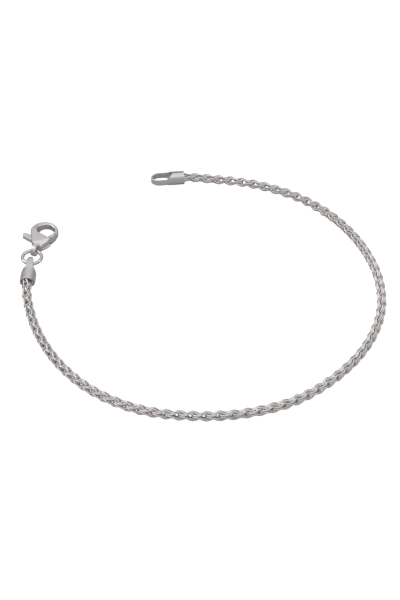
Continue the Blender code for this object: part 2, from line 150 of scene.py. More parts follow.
HUB_FOOT = math.radians(237)
HUB_TOP = math.radians(70)
HEEL_INSET = 0.1 * MM
HEEL_START = 1.66 * MM
FIT_GAP = 0.1 * MM
CAST_VOXEL = 0.06 * MM
CAST_SMOOTHING = 4
CAST_SOFTNESS = 0.5
RIM_SEGMENTS = 4
RIM_ANGLE = math.radians(50)
SEAM_STEP = math.radians(0.25)
CHEEK_STEPS = 6
NECK_STEPS = 8
EYE_STEPS = 48
HUB_STEPS = 8
TAB_TIP_STEPS = 17
GATE_STEPS = 14
GATE_ARC_STEPS = 40
SLOT_STEPS = 24

# Chain links, settled in millimetres
LINK_PITCH = 2.55
LINK_WIRE = 0.34
LINK_WIRE_SHOWN = 0.985
LINK_POINTS = 64
LINK_SIDES = 8
LINK_REACH = 1.05
LINK_FOLD_RADIUS = 0.50
LINK_BELLY_RADIUS = 0.83
LINK_END_RADIUS = 0.52
LINK_RISE = (0.1, 1.1)
LINK_FALL = (1.8, 2.8)
LINK_SPREAD = 0.5
LINK_SLACK = 1.06
LINK_STEPS = 2600
LINK_NEIGHBOURS = (1, -1, 2, -2)
LINK_START = 0.2
LINK_TONE_SEED = 7

# A link's arm before it settles, from its end to its fold: shares of its reach, of its belly, and aside.
# Aside is a share of the spread where the arms are open, and of half a wire where they lie together.
OPEN_ARM = [(1.0, 0.80, 0.0), (0.93, 0.90, 0.75), (0.72, 0.95, 1.0), (0.45, 1.0, 0.8)]
SHUT_ARM = [(0.18, 0.98, 1.1), (0.02, 0.62, 1.0), (-0.02, 0.0, 1.0)]

# How strongly each step of the settling corrects the wire, and how far along it touches itself, in wires
CONTACT_PUSH = 0.6
WALL_PUSH = 0.8
BEND_PUSH = 0.025
STEP_SHARE = 0.5
LENGTH_SHARE = 0.25
LENGTH_ROUNDS = 3
SELF_CONTACT = 1.6

# Roll of the chain: degrees at distances in millimetres along it
CHAIN_TWIST = [
    (0, 64), (7, 60), (15, 41), (23, 29), (38, 27), (45, 20), (49, 21),
    (55, 34), (61, 30), (67, 18), (73, 18), (81, 35), (87, 29), (93, 25),
    (99, 35), (107, 52), (115, 66), (121, 71), (127, 78), (135, 87), (141, 100),
    (146, 136), (152, 120), (157, 124), (163, 134), (169, 116), (183, 112),
]

# Silver: colours, least and greatest roughness, noise as scale and detail, bump as strength and height
WIRE_COOL = (0.93, 0.885, 0.89, 1)
WIRE_WARM = (0.905, 0.88, 0.86, 1)
WIRE_GREY = (0.76, 0.74, 0.73, 1)
WIRE_GREY_SHARES = (0.0, 0.25)
# Painted shade: a darker wire colour where the wire lies inward among the links, and the span of depth over
# which it fades out
WIRE_PAINTED_SHADE = (0.86, 0.825, 0.81, 1)
WIRE_PAINTED_SHADE_SPAN = (0.2, 0.75)
WIRE_DRIFT = (70.0, 2.0)
WIRE_DRIFT_SPAN = (0.4, 0.6)
WIRE_GRAIN = (2500.0, 3.0)
WIRE_ROUGHNESS = (0.24, 0.40)
WIRE_BUMP = (0.15, 0.01 * MM)
CAST_DRIFT = (160.0, 2.0)
CAST_DRIFT_SPAN = (0.35, 0.65)
CAST_GRAIN = (1800.0, 4.0)
CAST_DENTS = (420.0, 2.0)
CAST_BUMP = (0.12, 0.02 * MM)
GRAIN_SPAN = (0.3, 0.7)
CAP_ROUGHNESS = (0.20, 0.30)
CAP_COOL = (0.88, 0.85, 0.875, 1)
CAP_WARM = (0.84, 0.81, 0.83, 1)
CLASP_ROUGHNESS = (0.26, 0.36)
CLASP_COOL = (0.90, 0.87, 0.89, 1)
CLASP_WARM = (0.85, 0.82, 0.84, 1)

# Studio: a white table, a pale sky that is brighter above and darker to both sides, and soft boxes
TABLE_SIZE = 6.0
TABLE_COLOUR = (0.5, 0.5, 0.5, 1)
TABLE_GLOW = (1, 1, 1, 1)
SKY_LOW = (0.0, (0.38, 0.38, 0.385, 1))
SKY_MIDDLE = (0.45, (0.46, 0.46, 0.465, 1))
SKY_HIGH = (0.9, (0.68, 0.68, 0.68, 1))
SKY_SIDE_SPAN = (0.2, 0.95)
SKY_SIDE_STRENGTH = (1.06, 0.68)

# Place, size and power of each soft box
SOFT_BOXES = [
    ((-0.4, 0.15, 0.62), (0.3, 0.3), 0.55),
    ((-0.6, 0.1, 0.35), (0.25, 0.5), 0.5),
    ((0.6, 0.0, 0.4), (0.25, 0.5), 0.4),
    ((0.2, -0.4, 0.55), (0.3, 0.3), 0.09),
]


def smoothstep(value, low, high):
    """0 below low, 1 above high, an even curve between."""
    share = np.clip((value - low) / (high - low), 0.0, 1.0)
    return share * share * (3 - 2 * share)


def blend(start, end, low, high, t):
    """The point between start and end that belongs to t between low and high."""
    return start * ((high - t) / (high - low)) + end * ((t - low) / (high - low))


def smooth_curve(points, samples):
    """A centripetal Catmull-Rom curve through the points, as rows."""
    places = np.array(points, float)
    places = np.vstack([2 * places[0] - places[1], places, 2 * places[-1] - places[-2]])
    rows = []
    for i in range(1, len(places) - 2):
        four = places[i - 1:i + 3]
        knots = np.concatenate([[0.0], np.cumsum(np.linalg.norm(np.diff(four, axis=0), axis=1) ** 0.5)])
        for t in np.linspace(knots[1], knots[2], samples, endpoint=False):
            lines = [blend(four[k], four[k + 1], knots[k], knots[k + 1], t) for k in range(3)]
            bends = [blend(lines[k], lines[k + 1], knots[k], knots[k + 2], t) for k in range(2)]
            rows.append(blend(bends[0], bends[1], knots[1], knots[2], t))
    rows.append(places[-2])
    return np.array(rows)


# Places that the CAD frame and the photograph give


def cap_matrix(mouth, heading, roll, height):
    """Place of a cap: +X from its mouth to its loop, +Z through the fold's two layers."""
    place = Matrix.Translation((mouth[0], mouth[1], height))
    return place @ Matrix.Rotation(heading, 4, "Z") @ Matrix.Rotation(roll, 4, "X")


near_cap = cap_matrix(NEAR_CAP_MOUTH, NEAR_CAP_HEADING, 0.0, CAP_LOOP_DEPTH / 2)
far_cap = cap_matrix(FAR_CAP_MOUTH, FAR_CAP_HEADING, FAR_CAP_ROLL, CAP_BARREL_WIDTH / 2)
ring_centre = near_cap @ Vector((CAP_LENGTH + RING_PAST_CAP, 0, 0))
ring_centre.z = CLASP_HEIGHT / 2
ring_low, ring_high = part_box("jump_ring")

# From the photograph's middle to the frame's
shift = (ring_low + ring_high) / 2 - ring_centre
TO_FRAME = Matrix.Translation(shift)


def chain_axis():
    """Distances along the chain's middle line and its points, from inside one cap to inside the other."""
    near_end = [near_cap @ Vector((CAP_CHAIN_DEPTH, 0, 0)), near_cap.translation]
    far_end = [far_cap.translation, far_cap @ Vector((CAP_CHAIN_DEPTH, 0, 0))]
    places = [tuple(p.xy) for p in near_end] + [(x * MM, y * MM) for x, y in CHAIN_ROUTE]
    places += [tuple(p.xy) for p in far_end]
    plan = smooth_curve(places, ROUTE_SAMPLES)
    along = np.concatenate([[0.0], np.cumsum(np.linalg.norm(np.diff(plan, axis=0), axis=1))])
    height = np.full(len(plan), LINK_REACH * MM)
    for outside, cap in ((along, near_cap), (along[-1] - along, far_cap)):
        lift = cap.translation.z - LINK_REACH * MM
        height += lift * (1 - smoothstep(outside - CAP_CHAIN_DEPTH, 0.0, CHAIN_RISE))
    return along, np.column_stack([plan, height])


# Meshes


def solid(points, faces, split=False):
    """A plain mesh object. split makes triangles of its faces that have more than four corners."""
    mesh = bpy.data.meshes.new("making")
    mesh.from_pydata([tuple(p) for p in points], [], faces)
    body = bmesh.new()
    body.from_mesh(mesh)
    if split:
        bmesh.ops.triangulate(body, faces=[face for face in body.faces if len(face.verts) > 4])
    bmesh.ops.recalc_face_normals(body, faces=body.faces)
    body.to_mesh(mesh)
    body.free()
    thing = bpy.data.objects.new("making", mesh)
    bpy.context.scene.collection.objects.link(thing)
    return thing


def dress(thing, name, material, place, body, node):
    """Makes a mesh object the visible piece that stands for a CAD node and rides on a body."""
    thing.name = name
    thing.data.name = name
    thing.data.materials.clear()
    thing.data.materials.append(material)
    thing.data.shade_smooth()
    thing.matrix_world = place
    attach(thing, body)
    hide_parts(node)


def ring_faces(rings, sides, closed):
    """Faces between rings of the same number of points, with caps if the row isn't closed."""
    faces = []
    for i in range(rings if closed else rings - 1):
        after = (i + 1) % rings
        for k in range(sides):
            beside = (k + 1) % sides
            faces.append((i * sides + k, after * sides + k, after * sides + beside, i * sides + beside))
    if not closed:
        faces.append(tuple(range(sides))[::-1])
        faces.append(tuple((rings - 1) * sides + k for k in range(sides)))
    return faces


def loft(rings, closed=False):
    """A solid through rings of points."""
    faces = ring_faces(len(rings), len(rings[0]), closed)
    return solid([p for ring in rings for p in ring], faces, split=True)


def round_edges(thing, width, segments, angle, clamp):
    """Rounds the edges of a piece that turn by more than an angle."""
    bevel = thing.modifiers.new("rounded edges", "BEVEL")
    bevel.width = width
    bevel.segments = segments
    bevel.limit_method = "ANGLE"
    bevel.angle_limit = angle
    bevel.use_clamp_overlap = clamp


def apply_modifiers(thing):
    """Makes the evaluated mesh the object's own."""
    graph = bpy.context.evaluated_depsgraph_get()
    made = bpy.data.meshes.new_from_object(thing.evaluated_get(graph))
    thing.modifiers.clear()
    thing.data = made


def prism(outline, bottom, top, edge=0.0):
    """A solid of a flat outline, its rims rounded if an edge is given."""
    count = len(outline)
    points = [(x, y, z) for z in (bottom, top) for x, y in outline]
    sides = [(k, (k + 1) % count, count + (k + 1) % count, count + k) for k in range(count)]
    thing = solid(points, sides + [tuple(range(count)), tuple(range(count, 2 * count))], split=not edge)
    if edge:
        round_edges(thing, edge, RIM_SEGMENTS, RIM_ANGLE, clamp=False)
        apply_modifiers(thing)
    return thing


def combine(target, other, operation):
    """Unites, cuts or intersects a solid with another, which is then gone."""
    change = target.modifiers.new("change", "BOOLEAN")
    change.operation = operation
    change.solver = "EXACT"
    change.object = other
    apply_modifiers(target)
    bpy.data.objects.remove(other)


def melt(thing):
    """Runs the joined solids into one cast form with soft edges."""
    melted = thing.modifiers.new("one skin", "REMESH")
    melted.mode = "VOXEL"
    melted.voxel_size = CAST_VOXEL
    soft = thing.modifiers.new("soft edges", "SMOOTH")
    soft.factor = CAST_SOFTNESS
    soft.iterations = CAST_SMOOTHING
    apply_modifiers(thing)


# Chain links


def resample(points, count):
    """Points at an even spacing on the closed line through the given ones."""
    loop = np.vstack([points, points[:1]])
    along = np.concatenate([[0.0], np.cumsum(np.linalg.norm(np.diff(loop, axis=0), axis=1))])
    wanted = np.linspace(0.0, along[-1], count, endpoint=False)
    return np.column_stack([np.interp(wanted, along, loop[:, k]) for k in range(3)])


def folded_loop():
    """A loop of wire folded double, before it settles: along the chain, across it and aside."""
    reach = (LINK_PITCH + LINK_WIRE) * LINK_SLACK
    side = LINK_BELLY_RADIUS
    gap = LINK_WIRE / 2
    arm = [(reach * a, side * b, LINK_SPREAD * c) for a, b, c in OPEN_ARM]
    arm += [(reach * a, side * b, gap * c) for a, b, c in SHUT_ARM]
    upper = arm + [(a, -b, c) for a, b, c in arm[-2::-1]]
    lower = [(a, -b, -c) for a, b, c in arm[1:]] + [(a, b, -c) for a, b, c in arm[-2:0:-1]]
    return resample(np.array(upper + lower), LINK_POINTS)


def neighbour(link, count):
    """The link that lies count places further on: a quarter turn and half a pitch for each."""
    angle = count * math.pi / 2
    turned = link.copy()
    turned[:, 0] += count * LINK_PITCH / 2
    turned[:, 1] = math.cos(angle) * link[:, 1] - math.sin(angle) * link[:, 2]
    turned[:, 2] = math.sin(angle) * link[:, 1] + math.cos(angle) * link[:, 2]
    return turned


def push_apart(link, other, counted=None):
    """How the wire of a link is pushed by another wire that is nearer than a wire's thickness."""
    apart = link[:, None, :] - other[None, :, :]
    distance = np.sqrt((apart ** 2).sum(-1)) + TINY
    overlap = np.maximum(LINK_WIRE - distance, 0.0)
    if counted is not None:
        overlap = np.where(counted, overlap, 0.0)
    return (apart / distance[..., None] * overlap[..., None]).sum(1)


def wall_radius(along):
    """How far out the wire may lie: little at the fold, most at the belly, less again at the open end."""
    rise = (LINK_BELLY_RADIUS - LINK_FOLD_RADIUS) * smoothstep(along, *LINK_RISE)
    fall = (LINK_BELLY_RADIUS - LINK_END_RADIUS) * smoothstep(along, *LINK_FALL)
    return LINK_FOLD_RADIUS + rise - fall


def settled_link():
    """The folded loop pulled tight among its neighbours, all of which have its shape."""
    link = folded_loop()
    spacing = np.linalg.norm(np.roll(link, -1, 0) - link, axis=1).mean()
    order = np.arange(LINK_POINTS)
    steps_apart = np.abs(order[:, None] - order[None, :])
    steps_apart = np.minimum(steps_apart, LINK_POINTS - steps_apart)
    far_on_wire = steps_apart > math.ceil(SELF_CONTACT * LINK_WIRE / spacing)
    for _ in range(LINK_STEPS):
        push = np.zeros_like(link)
        for count in LINK_NEIGHBOURS:
            push += push_apart(link, neighbour(link, count))
        push += push_apart(link, link, far_on_wire)
        push *= CONTACT_PUSH
        radius = np.maximum(np.hypot(link[:, 1], link[:, 2]), TINY)
        inward = WALL_PUSH * np.maximum(radius - wall_radius(link[:, 0]), 0.0) / radius
        push[:, 1] -= link[:, 1] * inward
        push[:, 2] -= link[:, 2] * inward
        bend = np.roll(link, -1, 0) + np.roll(link, 1, 0) - 2 * link
        push -= BEND_PUSH * (np.roll(bend, -1, 0) + np.roll(bend, 1, 0) - 2 * bend)
        link = link + push * STEP_SHARE
        for _ in range(LENGTH_ROUNDS):
            run = np.roll(link, -1, 0) - link
            length = np.linalg.norm(run, axis=1)
            pull = run / length[:, None] * ((length - spacing) * LENGTH_SHARE)[:, None]
            link = link + pull - np.roll(pull, 1, 0)
        opposite = np.roll(link, LINK_POINTS // 2, 0)
        opposite[:, 1:] *= -1
        link = 0.5 * (link + opposite)
    return link


def tube_round(line, wire, sides):
    """Points of a tube round a closed line, ring after ring, with no twist where it closes."""
    count = len(line)
    runs = np.roll(line, -1, 0) - np.roll(line, 1, 0)
    runs /= np.linalg.norm(runs, axis=1)[:, None]
    normal = np.cross(runs[0], (0.0, 0.0, 1.0))
    normal /= np.linalg.norm(normal)
    normals = []
    for i in range(count + 1):
        run = runs[i % count]
        normal = normal - run * (normal @ run)
        normal /= np.linalg.norm(normal)
        normals.append(normal)
    side = np.cross(runs[0], normals[0])
    drift = math.atan2(normals[-1] @ side, normals[-1] @ normals[0])
    rings = []
    for i in range(count):
        turn = -drift * i / count
        side = np.cross(runs[i], normals[i])
        for k in range(sides):
            angle = turn + 2 * math.pi * k / sides
            rings.append(line[i] + wire / 2 * (normals[i] * math.cos(angle) + side * math.sin(angle)))
    return np.array(rings)


def on_route(spot, along, axis, heading):
    """Points beside a straight chain, in millimetres, moved to the rolled chain on its route, in metres."""
    distance = spot[:, 0] * MM
    radius = np.hypot(spot[:, 1], spot[:, 2])
    angle = np.arctan2(spot[:, 2], spot[:, 1]) + np.radians(np.interp(spot[:, 0], *zip(*CHAIN_TWIST)))
    run = np.column_stack([np.interp(distance, along, heading[:, k]) for k in range(3)])
    run /= np.linalg.norm(run, axis=1)[:, None]
    middle = np.column_stack([np.interp(distance, along, axis[:, k]) for k in range(3)])
    left = np.cross((0.0, 0.0, 1.0), run)
    left /= np.linalg.norm(left, axis=1)[:, None]
    up = np.cross(run, left)
    out = up * np.cos(angle)[:, None] + left * np.sin(angle)[:, None]
    return middle + out * radius[:, None] * MM


def build_links():
    """The whole chain: copies of one settled link, each through the one before, bent along the route."""
    tube = tube_round(settled_link(), LINK_WIRE * LINK_WIRE_SHOWN, LINK_SIDES)
    tube[:, 1:] *= LINK_REACH / np.hypot(tube[:, 1], tube[:, 2]).max()
    along, axis = chain_axis()
    heading = np.gradient(axis, along, axis=0)
    last = along[-1] / MM
    count = int((last - LINK_START - tube[:, 0].max()) / (LINK_PITCH / 2)) + 1
    places, depths, tones = [], [], []
    chance = np.random.default_rng(LINK_TONE_SEED)
    for n in range(count):
        spot = neighbour(tube, n)
        spot[:, 0] += LINK_START
        places.append(on_route(spot, along, axis, heading))
        depths.append(np.hypot(spot[:, 1], spot[:, 2]) / LINK_REACH)
        tones.append(np.full(len(spot), chance.random()))
    single = ring_faces(LINK_POINTS, LINK_SIDES, closed=True)
    faces = [tuple(n * len(tube) + i for i in face) for n in range(count) for face in single]
    links = solid(np.vstack(places) + np.array(shift), faces)
    for name, values in (("out_share", depths), ("link_tone", tones)):
        attribute = links.data.attributes.new(name, "FLOAT", "POINT")
        attribute.data.foreach_set("value", np.concatenate(values).astype(np.float32))
    dress(links, "chain_links", LINK_SILVER, Matrix.Identity(4), "bracelet", "chain")


# Caps and ring


def cap_fold():
    """The folded strip's middle line from mouth to mouth: places along and across, and its turn."""
    half_barrel = CAP_BARREL_DEPTH / 2
    half_loop = CAP_LOOP_DEPTH / 2
    nose = CAP_LENGTH - CAP_LOOP_NOSE
    upper = []
    for along in np.linspace(0.0, nose, CAP_LENGTH_STEPS, endpoint=False):
        share = smoothstep(along, CAP_SHELL_END, nose)
        upper.append((along, half_barrel + (half_loop - half_barrel) * share))
    turn = [(nose + CAP_LOOP_NOSE * math.cos(a), half_loop * math.sin(a))
            for a in np.linspace(math.pi / 2, -math.pi / 2, CAP_TURN_STEPS + 1)]
    lower = [(along, -across) for along, across in reversed(upper)]
    return upper + turn + lower


def cap_section(along, tip_least):
    """Half width and arc angle of the strip at a distance from the mouth."""
    share = 1.0 - smoothstep(along, CAP_SHELL_END, CAP_SHOULDER_END)
    half = (CAP_LOOP_WIDTH + (CAP_BARREL_WIDTH - CAP_LOOP_WIDTH) * share) / 2
    tip = min(max(along - CAP_TIP_START, 0.0) / CAP_TIP_RADIUS, 1.0)
    half *= tip_least + (1 - tip_least) * math.cos(math.pi / 2 * tip)
    return half, max(CAP_SEAM_ANGLE * share, CAP_FLAT_ANGLE)


def cap_ring(along, across, normal, tip_least):
    """One closed section of the strip, its outer side and then its inner side."""
    half, angle = cap_section(along, tip_least)
    depth_share = CAP_BARREL_DEPTH / CAP_BARREL_WIDTH
    bends = [angle * (2 * k / CAP_STRIP_STEPS - 1) for k in range(CAP_STRIP_STEPS + 1)]
    ring = []
    for inset, order in ((0.0, bends), (CAP_STRIP, bends[::-1])):
        for bend in order:
            width = (half - inset * abs(math.sin(bend))) * math.sin(bend) / math.sin(angle)
            drop = half * depth_share * (1 - math.cos(bend)) / math.sin(angle)
            sink = drop + inset * math.cos(bend)
            ring.append((along - normal[0] * sink, width, across - normal[1] * sink))
    return ring


def build_cap(name, node, place, tip_least):
    """A folded end cap, its loop narrowed at the fold to the least share given."""
    fold = cap_fold()
    rings = []
    for i, (along, across) in enumerate(fold):
        before = fold[max(i - 1, 0)]
        after = fold[min(i + 1, len(fold) - 1)]
        run = Vector((after[0] - before[0], after[1] - before[1])).normalized()
        rings.append(cap_ring(along, across, (-run.y, run.x), tip_least))
    faces = ring_faces(len(rings), len(rings[0]), closed=False)
    cap = solid([p for ring in rings for p in ring], faces)
    round_edges(cap, CAP_EDGE, CAP_EDGE_SEGMENTS, CAP_EDGE_ANGLE, clamp=True)
    dress(cap, name, CAP_SILVER, TO_FRAME @ place, "bracelet", node)


def build_ring():
    """The soldered jump ring."""
    points = []
    radius = (RING_OUTER - RING_WIRE) / 2
    for i in range(RING_SIDES):
        turn = 2 * math.pi * i / RING_SIDES
        for k in range(RING_WIRE_SIDES):
            angle = 2 * math.pi * k / RING_WIRE_SIDES
            out = radius + RING_WIRE / 2 * math.cos(angle)
            points.append((out * math.cos(turn), out * math.sin(turn), RING_WIRE / 2 * math.sin(angle)))
    ring = solid(points, ring_faces(RING_SIDES, RING_WIRE_SIDES, closed=True))
    place = TO_FRAME @ Matrix.Translation(ring_centre)
    dress(ring, "polished_ring", CAP_SILVER, place, "bracelet", "jump_ring")


# Clasp


def clasp_matrix():
    """Place of the clasp: its eye is round the jump ring's far side."""
    out = (RING_OUTER - RING_WIRE) / 2 + EYE_PAST_RING
    eye = ring_centre + Vector((out * math.cos(EYE_ROUND_RING), out * math.sin(EYE_ROUND_RING), 0))
    return TO_FRAME @ Matrix.Translation(eye) @ Matrix.Rotation(CLASP_LEAN, 4, "Z")


def hook_circle(angle, radius):
    """A point on a circle round the hook's centre."""
    return (radius * math.cos(angle), HOOK_CENTRE + radius * math.sin(angle))


def pivot_circle(angle, radius):
    """A point on a circle round the lever's pivot."""
    return (PIVOT_X + radius * math.cos(angle), PIVOT_Y + radius * math.sin(angle))


def arc(radius, low, high, count):
    """Points on an arc round the pivot."""
    return [pivot_circle(a, radius) for a in np.linspace(low, high, count)]


def rounded_section(centre, outward, width, height):
    """A softly squared section round a centre, width across and height up."""
    section = []
    for k in range(SECTION_POINTS):
        angle = 2 * math.pi * k / SECTION_POINTS
        c, s = math.cos(angle), math.sin(angle)
        reach = 0.5 / (abs(c) ** SECTION_POWER + abs(s) ** SECTION_POWER) ** (1 / SECTION_POWER)
        across = reach * c * width
        x = centre[0] + outward[0] * across
        y = centre[1] + outward[1] * across
        section.append((x, y, reach * s * height))
    return section


def seam_angle(width):
    """Angle round the hook's centre at which a band of this width meets the gate's arc."""
    angle = 0.0
    while True:
        x, y = hook_circle(angle, (HOOK_OUTER - width) / 2)
        if math.hypot(x - PIVOT_X, y - PIVOT_Y) <= GATE_REACH:
            return angle
        angle -= SEAM_STEP


def gate_wedge(radius):
    """The wedge round the pivot that the gate keeps to and the hook keeps out of."""
    outline = [(PIVOT_X, PIVOT_Y)] + arc(radius, *GATE_ARC, GATE_ARC_STEPS)
    return prism(outline, -CLASP_HEIGHT, CLASP_HEIGHT)


def build_hook():
    """The hook, cut to the gate's arc."""
    tip = seam_angle(HOOK_TIP_WIDTH) - GATE_PAST_SEAM
    rings = []
    for i in range(HOOK_STEPS + 1):
        share = i / HOOK_STEPS
        angle = HOOK_ROOT_ANGLE + (tip - HOOK_ROOT_ANGLE) * share
        slimmed = smoothstep(share, 0.0, HOOK_WIDTH_TAPER)
        lowered = smoothstep(share, 0.0, HOOK_HEIGHT_TAPER)
        width = HOOK_ROOT_WIDTH + (HOOK_TIP_WIDTH - HOOK_ROOT_WIDTH) * slimmed
        height = CLASP_HEIGHT + (HOOK_HEIGHT - CLASP_HEIGHT) * lowered
        centre = hook_circle(angle, (HOOK_OUTER - width) / 2)
        rings.append(rounded_section(centre, (math.cos(angle), math.sin(angle)), width, height))
    hook = loft(rings)
    combine(hook, gate_wedge(GATE_REACH + FIT_GAP), "DIFFERENCE")
    return hook


def cheek_right():
    """The cheeks' right side, from the gate down to the neck."""
    reach = HOOK_CENTRE - CHEEK_START
    side = [(HOOK_OUTER / 2 * out, CHEEK_START + reach * up) for out, up in CHEEK_RIGHT]
    return [tuple(p) for p in smooth_curve(side, CHEEK_STEPS)]


def cheek_outline():
    """The pear-shaped cheeks: up the left side, across under the hook's opening, down the right side."""
    radius = HOOK_OUTER / 2
    reach = HOOK_CENTRE - CHEEK_START
    high, low = CHEEK_ROOT_ANGLES
    left = [(-radius * out, CHEEK_START + reach * up) for out, up in CHEEK_LEFT]
    left = smooth_curve(left + [hook_circle(high, radius)], CHEEK_STEPS)
    inner = [hook_circle(a, radius - HOOK_ROOT_WIDTH) for a in np.linspace(high, low, CHEEK_STEPS)]
    return [tuple(p) for p in left] + inner + cheek_right()


def slot_outline():
    """The slot for the lever, wide enough for it from shut to open."""
    hub = HUB_DIAMETER / 2 + FIT_GAP
    half = TAB_WIDTH / 2 + FIT_GAP
    shut = Vector((math.cos(TAB_HEADING), math.sin(TAB_HEADING)))
    opened = TAB_HEADING + LEVER_OPEN
    wide = Vector((math.cos(opened), math.sin(opened)))
    pivot = Vector((PIVOT_X, PIVOT_Y))
    tab_side = [pivot + shut * HOOK_OUTER + Vector((shut.y, -shut.x)) * half,
                pivot + wide * HOOK_OUTER + Vector((-wide.y, wide.x)) * half]
    hub_side = arc(hub, opened + math.pi / 2, SLOT_FOOT, HUB_STEPS)
    gate_side = arc(GATE_REACH - FIT_GAP, *SLOT_SIDE, SLOT_STEPS)
    top = pivot_circle(HUB_TOP + LEVER_OPEN, hub)
    return [tuple(p) for p in tab_side] + hub_side + gate_side + [top]


def facet_cutter():
    """The wedge that cuts the broad facet along the upper cheek's right edge."""
    start, end = (Vector(p) for p in FACET_EDGE)
    run = (end - start).normalized()
    out = Vector((run.y, -run.x))
    top = CLASP_HEIGHT / 2
    slope = top - CLASP_HEIGHT * math.tan(FACET_SLOPE)
    wedge = [(0.0, top), (CLASP_HEIGHT, slope), (CLASP_HEIGHT, CLASP_HEIGHT), (0.0, CLASP_HEIGHT)]
    rings = []
    for place in (start - run * CLASP_HEIGHT, end + run * CLASP_HEIGHT):
        corners = [(place + out * away, height) for away, height in wedge]
        rings.append([(spot.x, spot.y, height) for spot, height in corners])
    return loft(rings)


def pin_guide(length):
    """The room that the pin has in its bore."""
    turns = np.linspace(0, 2 * math.pi, PIN_SIDES, endpoint=False)
    return prism([pivot_circle(a, PIN_ROOM / 2) for a in turns], -length / 2, length / 2)


def build_clasp_body():
    """Cheeks, hook, neck and eye as one soft-edged casting, with the lever's slot and the pin's bore."""
    half = CLASP_HEIGHT / 2
    body = prism(cheek_outline(), -half, half, CHEEK_EDGE)
    combine(body, facet_cutter(), "DIFFERENCE")
    combine(body, build_hook(), "UNION")
    low, high = EYE_HOLE / 2 + FIT_GAP, CHEEK_START + NECK_WIDTH
    places = np.linspace(low, high, NECK_STEPS)
    neck = [rounded_section((0, y), (1, 0), NECK_WIDTH, NECK_HEIGHT) for y in places]
    combine(body, loft(neck), "UNION")
    middle = (EYE_OUTER + EYE_HOLE) / 4
    flat = rounded_section((0, 0), (1, 0), EYE_THICKNESS, (EYE_OUTER - EYE_HOLE) / 2)
    rings = []
    for angle in np.linspace(0, 2 * math.pi, EYE_STEPS, endpoint=False):
        c, s = math.cos(angle), math.sin(angle)
        rings.append([(x, (middle + z) * c, (middle + z) * s) for x, _, z in flat])
    combine(body, loft(rings, closed=True), "UNION")
    melt(body)
    slot = WEB_THICKNESS / 2 + FIT_GAP
    combine(body, prism(slot_outline(), -slot, slot), "DIFFERENCE")
    combine(body, pin_guide(PIN_LENGTH + 2 * FIT_GAP), "DIFFERENCE")
    dress(body, "cast_clasp", CLASP_SILVER, clasp_matrix(), "bracelet", "clasp_body")


def gate_line():
    """The gate's middle line, from its foot above the cheeks to past the seam."""
    seam = seam_angle(GATE_WIDTH)
    middle_radius = (HOOK_OUTER - GATE_WIDTH) / 2
    past = hook_circle(seam + GATE_PAST_SEAM, middle_radius)
    tip = hook_circle(seam - GATE_PAST_SEAM / 2, middle_radius)
    out, up = CHEEK_RIGHT[0]
    foot = (HOOK_OUTER / 2 * out - GATE_WIDTH / 2, CHEEK_START + (HOOK_CENTRE - CHEEK_START) * up)
    return [(foot[0], foot[1] + GATE_WIDTH / 4 + FIT_GAP), tip, past]


def build_lever():
    """The lever, shut: thumb tab, hub in the slot and gate up the right side."""
    half = TAB_WIDTH / 2
    away = Vector((math.cos(TAB_HEADING), math.sin(TAB_HEADING)))
    aside = Vector((-away.y, away.x))
    pivot = Vector((PIVOT_X, PIVOT_Y))
    points = []
    for turn in np.linspace(0, math.pi, TAB_TIP_STEPS):
        tip = pivot + away * (TAB_REACH - half + half * math.sin(turn))
        points.append(tuple(tip - aside * (half * math.cos(turn))))
    points += arc(HUB_DIAMETER / 2, HUB_FOOT, SLOT_FOOT, HUB_STEPS)
    points += [(x - HEEL_INSET, y) for x, y in reversed(cheek_right()) if y > HEEL_START]
    foot_x, foot_y = gate_line()[0]
    side = GATE_WIDTH / 2 - FIT_GAP
    points += [(foot_x + side, foot_y + side), (foot_x - side, foot_y + side)]
    points.append(pivot_circle(HUB_TOP, HUB_DIAMETER / 2))
    lever = prism(points, -WEB_THICKNESS / 2, WEB_THICKNESS / 2)
    line = smooth_curve(gate_line(), GATE_STEPS)
    rings = []
    for i, place in enumerate(line):
        run = Vector(line[min(i + 1, len(line) - 1)] - line[max(i - 1, 0)]).normalized()
        height = GATE_FOOT_HEIGHT + (GATE_TIP_HEIGHT - GATE_FOOT_HEIGHT) * i / (len(line) - 1)
        rings.append(rounded_section(place, (run.y, -run.x), GATE_WIDTH, height))
    gate = loft(rings)
    combine(gate, gate_wedge(GATE_REACH), "INTERSECT")
    combine(lever, gate, "UNION")
    melt(lever)
    combine(lever, pin_guide(CLASP_HEIGHT), "DIFFERENCE")
    dress(lever, "cast_lever", CLASP_SILVER, clasp_matrix(), "lever", "clasp_lever")


# Materials


def set_range(node, span, target):
    """Makes a Map Range node turn one span of values into another."""
    for name, value in zip(("From Min", "From Max", "To Min", "To Max"), span + target):
        node.inputs[name].default_value = value


